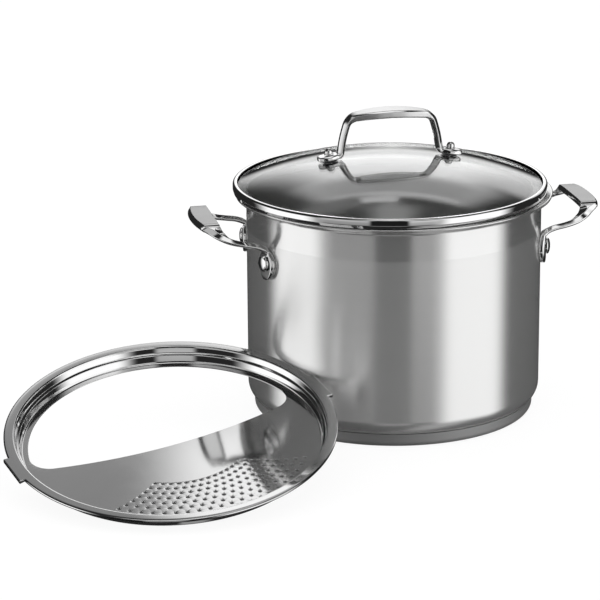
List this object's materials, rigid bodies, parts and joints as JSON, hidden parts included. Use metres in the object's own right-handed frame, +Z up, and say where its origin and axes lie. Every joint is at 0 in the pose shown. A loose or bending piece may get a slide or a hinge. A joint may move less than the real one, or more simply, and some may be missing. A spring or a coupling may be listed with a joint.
{
  "type": "pasta pot with strainer insert",
  "caption": "Tall stainless steel pasta pot with a glass lid, riveted loop handles and a perforated lock-in strainer insert leaning beside it.",
  "frame": {"origin": "centre of the pot's base, on the surface that it stands on", "axes": "+Z up the pot, +X through the right side handle, so that both side handles lie along X, and -Y towards the viewer; the insert leans at the front left, at -X and -Y"},
  "size_m": [0.5102, 0.3901, 0.2513],
  "materials": {
    "brushed_body_steel": "satin, brushed round the pot, with a polished band below the rim",
    "base_aluminium": "plain, hidden",
    "base_steel": "matt",
    "cast_handle_steel": "mirror polished cast stainless steel, brushed on top of the grips",
    "fastener_steel": "polished stainless steel",
    "lid_glass": "clear tempered glass",
    "band_steel": "mirror polished stainless steel",
    "washer_rubber": "matt black",
    "insert_steel": "polished flange and collar, satin perforated plate"
  },
  "bodies": {
    "pot": {"pot_body": "brushed_body_steel", "base_core": "base_aluminium", "base_cap": "base_steel", "handle_right": "cast_handle_steel", "handle_left": "cast_handle_steel", "rivet_right_front": "fastener_steel", "rivet_right_back": "fastener_steel", "rivet_left_back": "fastener_steel", "rivet_left_front": "fastener_steel"},
    "lid": {"lid_glass": "lid_glass", "lid_rim_band": "band_steel", "lid_handle": "cast_handle_steel", "lid_screw_left": "fastener_steel", "lid_nut_left": "fastener_steel", "lid_upper_washer_left": "washer_rubber", "lid_lower_washer_left": "washer_rubber", "lid_screw_right": "fastener_steel", "lid_nut_right": "fastener_steel", "lid_upper_washer_right": "washer_rubber", "lid_lower_washer_right": "washer_rubber"},
    "strainer": {"strainer_insert": "insert_steel"}
  },
  "joints": [
    {"name": "lid_lift", "type": "slide", "parent": "pot", "child": "lid", "axis": [0, 0, 1], "range_m": [0, 0.15]},
    {"name": "strainer_lift", "type": "slide", "parent": "pot", "child": "strainer", "axis": [-0.595, -0.382, 0.7071], "range_m": [0, 0.25]}
  ]
}
